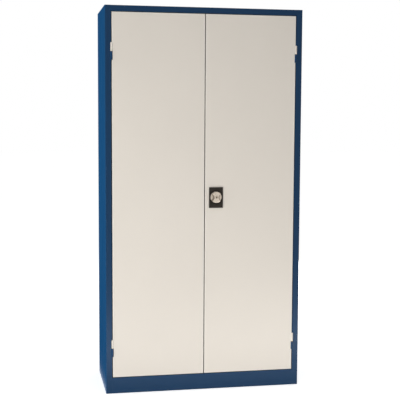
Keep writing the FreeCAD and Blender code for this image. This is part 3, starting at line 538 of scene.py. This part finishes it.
body_low, body_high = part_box("left_side_panel")
back_face = body_high.y
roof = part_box("top_panel")[1].z
half_width = -body_low.x
shape = bmesh.new()
for z in evenly(LOWEST_WELD, roof - WELD_MARGIN, SIDE_PITCH):
    for side in (-1, 1):
        place = Vector((side * (half_width - FLANGE_MIDDLE), back_face, z))
        spot_weld(shape, place, REARWARD, RIGHTWARD)
for x in evenly(-half_width + WELD_MARGIN, half_width - WELD_MARGIN, ROOF_PITCH):
    spot_weld(shape, Vector((x, back_face, roof - FLANGE_MIDDLE)), REARWARD, RIGHTWARD)
place_piece("body_spot_welds", shape, "cupboard", "body_blue")

for side in ("left", "right"):
    low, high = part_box(side + "_door_stiffener")
    foot_face = low.y + FOOT_SHEET
    shape = bmesh.new()
    for z in evenly(low.z + DOOR_WELD_MARGIN, high.z - DOOR_WELD_MARGIN, DOOR_PITCH):
        for x in (low.x + FLANGE_MIDDLE, high.x - FLANGE_MIDDLE):
            spot_weld(shape, Vector((x, foot_face, z)), REARWARD, RIGHTWARD)
    place_piece(side + "_door_spot_welds", shape, side + "_door", "door_grey")

# %% [markdown]
# Where a spot welder can't reach, the sheets are joined by short runs of wire weld. A run is a
# row of overlapping drops, so its section swells and shrinks every few millimetres. The same
# function, with a flat section and no drops, makes the dressed seams at the corners of the front
# frame, where the rail and the plinth meet the stiles: there the weld was ground nearly flush.

# %% Wire welds and dressed seams
BEAD_SIDES = 8
DROP_PITCH = 0.0022
STEP_LENGTH = 0.00055
TAPER_LENGTH = 0.001
BLUNT_END_SHARE = 0.15
ROOT_SHARE = 0.15
NARROWEST_SHARE = 0.7
WELD_HALF, WELD_RISE, WELD_LIFT, WELD_LENGTH = 0.0018, 0.0013, 0.0007, 0.024
WELD_DROPS = 0.25
UPRIGHT_MARGIN, UPRIGHT_PITCH = 0.12, 0.40
SIDE_SHEET = 0.001
SEAM_HALF, SEAM_RISE = 0.0009, 0.00014
RAIL_HEIGHT = 0.029
PLINTH_SEAM_MARGIN = 0.0015
RAIL_SEAM_MARGIN, ROOF_SEAM_MARGIN = 0.0025, 0.003
FORWARD = Vector((0, -1, 0))


def bead(shape, start, end, out, half_width, rise, drops):
    """A run of weld from start to end: out is the way that it bulges, drops is 0 for a flat one."""
    run = end - start
    way = run.normalized()
    across = way.cross(out)
    count = max(4, round(run.length / STEP_LENGTH))
    last = None
    for step in range(count + 1):
        share = step / count
        drop = abs(math.sin(math.pi * share * run.length / DROP_PITCH))
        to_end = min(share, 1 - share) * run.length
        taper = min(1.0, to_end / TAPER_LENGTH + BLUNT_END_SHARE)
        swell = (1 - drops + drops * drop) * taper
        half = half_width * (NARROWEST_SHARE + (1 - NARROWEST_SHARE) * swell)
        ring = []
        for corner in range(BEAD_SIDES + 1):
            angle = math.pi * corner / BEAD_SIDES
            bulge = out * (math.sin(angle) * rise * swell - rise * ROOT_SHARE)
            offset = across * (math.cos(angle) * half)
            ring.append(shape.verts.new(start + way * (share * run.length) + bulge + offset))
        for a, b in zip(range(BEAD_SIDES), range(1, BEAD_SIDES + 1)):
            if last:
                shape.faces.new((last[a], last[b], ring[b], ring[a]))
        last = ring


shape = bmesh.new()
for side in ("left", "right"):
    way = 1 if side == "left" else -1
    wall = way * (SIDE_SHEET - half_width)
    for row in ("front", "rear"):
        low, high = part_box(row + "_" + side + "_upright")
        for z in evenly(low.z + UPRIGHT_MARGIN, high.z - UPRIGHT_MARGIN, UPRIGHT_PITCH):
            for y, face in ((low.y, -1), (high.y, 1)):
                out = Vector((way, face, 0)).normalized()
                start = Vector((wall, y, z - WELD_LENGTH / 2)) + out * WELD_LIFT
                end = start + Vector((0, 0, WELD_LENGTH))
                bead(shape, start, end, out, WELD_HALF, WELD_RISE, WELD_DROPS)
place_piece("upright_welds", shape, "cupboard", "body_blue")

base_low, base_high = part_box("base_frame")
jamb, front_face = base_high.x, base_low.y
plinth_seam = (PLINTH_SEAM_MARGIN, base_high.z - PLINTH_SEAM_MARGIN)
rail_seam = (roof - RAIL_HEIGHT + RAIL_SEAM_MARGIN, roof - ROOF_SEAM_MARGIN)
shape = bmesh.new()
for x in (-jamb, jamb):
    for low, high in (plinth_seam, rail_seam):
        start = Vector((x, front_face, low))
        bead(shape, start, Vector((x, front_face, high)), FORWARD, SEAM_HALF, SEAM_RISE, 0.0)
place_piece("front_frame_seams", shape, "cupboard", "body_blue")

# %% [markdown]
# The floor is a pale sheet that keeps a soft shadow under the plinth. So that the background is
# white without more light on the cupboard, the floor and the world are told apart by the kind of
# ray: what the camera or a shiny surface sees of them is white, while the light that they throw
# on the cupboard stays that of a plain grey studio.

# %% Floor and surroundings
FLOOR_HALF = 30.0
FLOOR_LIFT = 0.66
WORLD_LIGHT = 0.43


def background_rays(tree):
    """1 for the rays that show the background: seen, mirrored or through glass."""
    path = add(tree, "ShaderNodeLightPath").outputs
    bounced = maths(tree, "MAXIMUM", path["Is Glossy Ray"], path["Is Transmission Ray"])
    return maths(tree, "MAXIMUM", path["Is Camera Ray"], bounced)


floor_mesh = bpy.data.meshes.new("floor")
corners = [(x * FLOOR_HALF, y * FLOOR_HALF, 0.0) for x, y in ((-1, -1), (1, -1), (1, 1), (-1, 1))]
floor_mesh.from_pydata(corners, [], [(0, 1, 2, 3)])
floor = bpy.data.objects.new("floor", floor_mesh)
bpy.context.collection.objects.link(floor)
pale = bpy.data.materials.new("pale_floor")
pale.use_nodes = True
tree = pale.node_tree
tree.nodes.clear()
matt = add(tree, "ShaderNodeBsdfDiffuse", {"Color": (0.8, 0.8, 0.8, 1)})
lifted = maths(tree, "MULTIPLY", background_rays(tree), FLOOR_LIFT)
glow = add(tree, "ShaderNodeEmission", {"Color": (1, 1, 1, 1), "Strength": lifted})
both = add(tree, "ShaderNodeAddShader", {0: matt.outputs[0], 1: glow.outputs[0]})
add(tree, "ShaderNodeOutputMaterial", {"Surface": both.outputs[0]})
floor_mesh.materials.append(pale)

world = bpy.data.worlds.new("studio")
bpy.context.scene.world = world
world.use_nodes = True
tree = world.node_tree
tree.nodes.clear()
level = maths(tree, "MAXIMUM", background_rays(tree), WORLD_LIGHT)
sky = add(tree, "ShaderNodeBackground", {"Color": (1, 1, 1, 1), "Strength": level})
add(tree, "ShaderNodeOutputWorld", {"Surface": sky.outputs[0]})
print("floor", FLOOR_HALF * 2, "m wide, world light", WORLD_LIGHT)

# %% [markdown]
# The light is read from the shades in the photograph. The side is an even bright blue, so a large
# soft lamp stands square to it on the left. The doors fade from bottom left to top right, so a
# smaller one stands low in front of them. A lamp behind, on the right, keeps the back readable.
# None stands higher than the roof, or the roof would mirror it when it is seen from above.
#
# The dark blue side takes five times more light than an open pale door can bear. A studio would
# shade the door with a screen. Light linking does the same here: the side lamp lights only the
# blue pieces, and a weak one in the same place lights the rest. The lamps on the left and in
# front don't show in reflections, as with a polarising filter, so nothing plated burns out.
#
# The foot of the front has the sheen of a bright floor. Two cards on the floor make it: one shows
# only as a reflection in the paint, and a small one adds a little soft light from below.

# %% Lamps


def soft_lamp(name, place, target, width, height, watts, unseen_by=()):
    """A rectangular lamp that faces a target. Some kinds of ray can be told to pass it by."""
    lamp = bpy.data.objects.new(name, bpy.data.lights.new(name, "AREA"))
    lamp.data.shape = "RECTANGLE"
    lamp.data.size = width
    lamp.data.size_y = height
    lamp.data.energy = watts
    lamp.location = place
    lamp.rotation_euler = (Vector(target) - Vector(place)).to_track_quat("-Z", "Y").to_euler()
    for rays in unseen_by:
        setattr(lamp, "visible_" + rays, False)
    bpy.context.collection.objects.link(lamp)
    return lamp


LEFT_OF_SIDE, SIDE_MIDDLE = (-4.0, -0.1, 0.98), (0.0, -0.1, 1.05)
LEFT_WATTS = 60.0
SIDE_WATTS = 325.0
LOW_WATTS = 38.5
BACK_WATTS = 90.0
BOUNCE_WATTS = 1.4
CARD_WATTS = 14.0
soft_lamp("left_lamp", LEFT_OF_SIDE, SIDE_MIDDLE, 2.6, 1.9, LEFT_WATTS, ("glossy",))
side_lamp = soft_lamp("side_lamp", LEFT_OF_SIDE, SIDE_MIDDLE, 2.6, 1.9, SIDE_WATTS, ("glossy",))
blue_pieces = bpy.data.collections.new("blue_pieces")
for piece in bpy.data.objects:
    if any(slot.material == finishes["body_blue"] for slot in piece.material_slots):
        blue_pieces.objects.link(piece)
side_lamp.light_linking.receiver_collection = blue_pieces
soft_lamp("low_lamp", (-1.3, -3.0, 0.35), (0.0, 0.0, 0.6), 0.9, 0.9, LOW_WATTS, ("glossy",))
soft_lamp("back_lamp", (2.4, 3.4, 0.95), (0.0, 0.0, 1.0), 2.5, 1.8, BACK_WATTS)
soft_lamp("bounce_card", (0.55, -0.85, 0.03), (0.45, -0.2, 0.25), 0.8, 0.8, BOUNCE_WATTS,
          ("camera", "glossy"))
soft_lamp("sheen_card", (0.25, -0.68, 0.03), (0.25, -0.22, 0.50), 2.0, 0.5, CARD_WATTS,
          ("camera", "diffuse"))

# %% [markdown]
# Seen almost along its surface, even dull paint mirrors what stands behind it, and a white room
# would wash the blue side out. Photographers hang a dark cloth there, called a flag. This one
# stands and lies at the back on the left. It shows only in reflections: the camera doesn't see
# it, and it takes no light and gives no shadow.

# %% Dark flag behind the left side
FLAG_LEFT, FLAG_RIGHT = -3.5, -0.3
FLAG_FRONT, FLAG_BACK = -0.4, 3.2
FLAG_TOP = 4.0
FLAG_FLOOR = 0.01
FLAG_BESIDE = -0.52
flag_mesh = bpy.data.meshes.new("flag")
flag_mesh.from_pydata(
    [(FLAG_RIGHT, FLAG_BACK, FLAG_FLOOR), (FLAG_RIGHT, FLAG_BACK, FLAG_TOP),
     (FLAG_LEFT, FLAG_BACK, FLAG_TOP), (FLAG_LEFT, FLAG_BACK, FLAG_FLOOR),
     (FLAG_LEFT, FLAG_FRONT, FLAG_FLOOR), (FLAG_LEFT, FLAG_FRONT, FLAG_TOP),
     (FLAG_BESIDE, FLAG_FRONT, FLAG_FLOOR), (FLAG_BESIDE, FLAG_BACK, FLAG_FLOOR)],
    [], [(0, 1, 2, 3), (3, 2, 5, 4), (3, 4, 6, 7)],
)
flag = bpy.data.objects.new("flag", flag_mesh)
bpy.context.collection.objects.link(flag)
cloth = bpy.data.materials.new("black_cloth")
cloth.use_nodes = True
cloth_shader = cloth.node_tree.nodes["Principled BSDF"]
cloth_shader.inputs["Base Color"].default_value = (0.01, 0.01, 0.01, 1)
cloth_shader.inputs["Specular IOR Level"].default_value = 0.0
flag_mesh.materials.append(cloth)
flag.visible_camera = False
flag.visible_diffuse = False
flag.visible_shadow = False
print("flag", FLAG_TOP, "m high")
